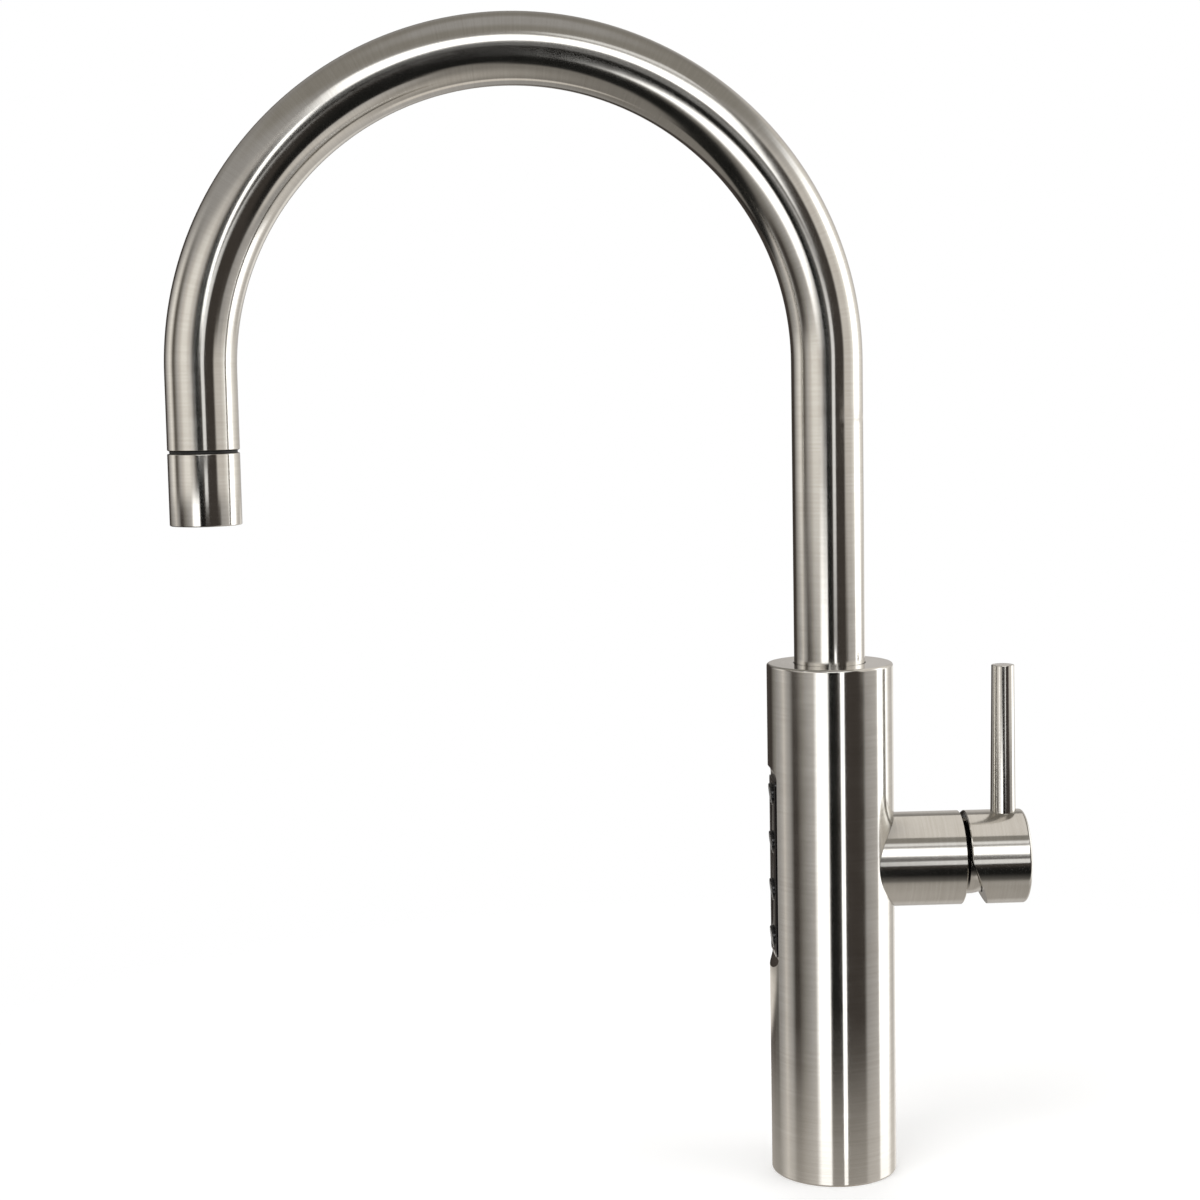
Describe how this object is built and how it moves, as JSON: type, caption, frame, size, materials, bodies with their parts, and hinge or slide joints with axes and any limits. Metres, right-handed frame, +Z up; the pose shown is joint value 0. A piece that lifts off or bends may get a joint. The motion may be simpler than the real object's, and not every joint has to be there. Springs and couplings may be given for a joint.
{
  "type": "boiling water tap",
  "caption": "Deck-mounted boiling water tap: round column, swan neck swivel spout, side lever mixer and a flush keypad of push buttons, in brushed stainless steel.",
  "frame": {"origin": "centre of the column's foot, on the worktop's top surface", "axes": "+Z up along the column; the spout points to -X at rest, the lever valve to +X"},
  "size_m": [0.3353, 0.052, 0.532],
  "materials": {
    "brushed_steel": "fine brushed stainless steel, satin",
    "fastener_steel": "plain stainless steel",
    "brass": "machined brass",
    "supply_steel": "drawn stainless tube",
    "rubber": "moulded black rubber",
    "white_plastic": "moulded acetal, matt",
    "ceramic": "lapped white alumina",
    "keypad_black": "moulded black plastic, satin gloss",
    "board_green": "coated circuit board",
    "button_grey": "silver grey moulded plastic, satin"
  },
  "bodies": {
    "column": {"column_shell": "brushed_steel", "mixer_boss": "brushed_steel", "dome_nut": "brushed_steel", "spout_stop_screw": "fastener_steel", "socket_screws": "fastener_steel", "board_screws": "fastener_steel", "filter_riser": "fastener_steel", "shank": "brass", "inlet_plate": "brass", "hot_inlet": "brass", "cold_inlet": "brass", "boiling_inlet": "brass", "chilled_inlet": "brass", "water_manifold": "brass", "cartridge_socket": "brass", "spout_socket": "brass", "hot_tube": "supply_steel", "cold_tube": "supply_steel", "boiling_tube": "supply_steel", "chilled_tube": "supply_steel", "base_gasket": "rubber", "cable_gland": "rubber", "spout_seals": "rubber", "socket_seals": "rubber", "cartridge_seals": "rubber", "thrust_washer": "white_plastic", "spout_bushes": "white_plastic", "cartridge_base": "white_plastic", "cartridge_housing": "white_plastic", "fixed_disc": "ceramic", "keypad_plate": "keypad_black", "key_switches": "keypad_black", "keypad_board": "board_green"},
    "spout": {"spout_tube": "brushed_steel", "filter_tube": "white_plastic", "nozzle_adapter": "brass", "nozzle_gasket": "rubber", "nozzle_sleeve": "brushed_steel", "aerator": "white_plastic", "aerator_screen": "fastener_steel"},
    "mixer": {"mix_carrier": "white_plastic", "pivot_pin": "fastener_steel"},
    "lever": {"cartridge_stem": "brass", "lever_hub": "brushed_steel", "lever_rod": "brushed_steel", "lever_screw": "fastener_steel"},
    "valve_disc": {"disc_slider": "white_plastic", "moving_disc": "ceramic"},
    "top_key": {"top_button": "button_grey"},
    "upper_key": {"upper_button": "button_grey"},
    "lower_key": {"lower_button": "button_grey"},
    "bottom_key": {"bottom_button": "button_grey"},
    "clamp": {"clamp_seal": "rubber", "clamp_washer": "fastener_steel", "clamp_nut": "brass"}
  },
  "joints": [
    {"name": "spout_swivel", "type": "hinge", "parent": "column", "child": "spout", "pos_m": [0, 0, 0.187], "axis": [0, 0, 1], "range_deg": [-90, 90]},
    {"name": "temperature_turn", "type": "hinge", "parent": "column", "child": "mixer", "pos_m": [0.0544, 0, 0.126], "axis": [1, 0, 0], "range_deg": [-45, 45]},
    {"name": "flow_lift", "type": "hinge", "parent": "mixer", "child": "lever", "pos_m": [0.0544, 0, 0.126], "axis": [0, 1, 0], "range_deg": [0, 22]},
    {"name": "disc_slide", "type": "slide", "parent": "mixer", "child": "valve_disc", "axis": [0, 0, 1], "range_m": [0, 0.00526]},
    {"name": "top_button_press", "type": "slide", "parent": "column", "child": "top_key", "axis": [1, 0, 0], "range_m": [0, 0.0008], "stiffness_N_per_m": 1200, "springref_m": -0.0008},
    {"name": "upper_button_press", "type": "slide", "parent": "column", "child": "upper_key", "axis": [1, 0, 0], "range_m": [0, 0.0008], "stiffness_N_per_m": 1200, "springref_m": -0.0008},
    {"name": "lower_button_press", "type": "slide", "parent": "column", "child": "lower_key", "axis": [1, 0, 0], "range_m": [0, 0.0008], "stiffness_N_per_m": 1200, "springref_m": -0.0008},
    {"name": "bottom_button_press", "type": "slide", "parent": "column", "child": "bottom_key", "axis": [1, 0, 0], "range_m": [0, 0.0008], "stiffness_N_per_m": 1200, "springref_m": -0.0008},
    {"name": "clamp_slide", "type": "slide", "parent": "column", "child": "clamp", "axis": [0, 0, 1], "range_m": [-0.012, 0.026]}
  ],
  "couplings": [
    {"joint": "disc_slide", "follows": "flow_lift", "m_per_rad": 0.013659}
  ]
}
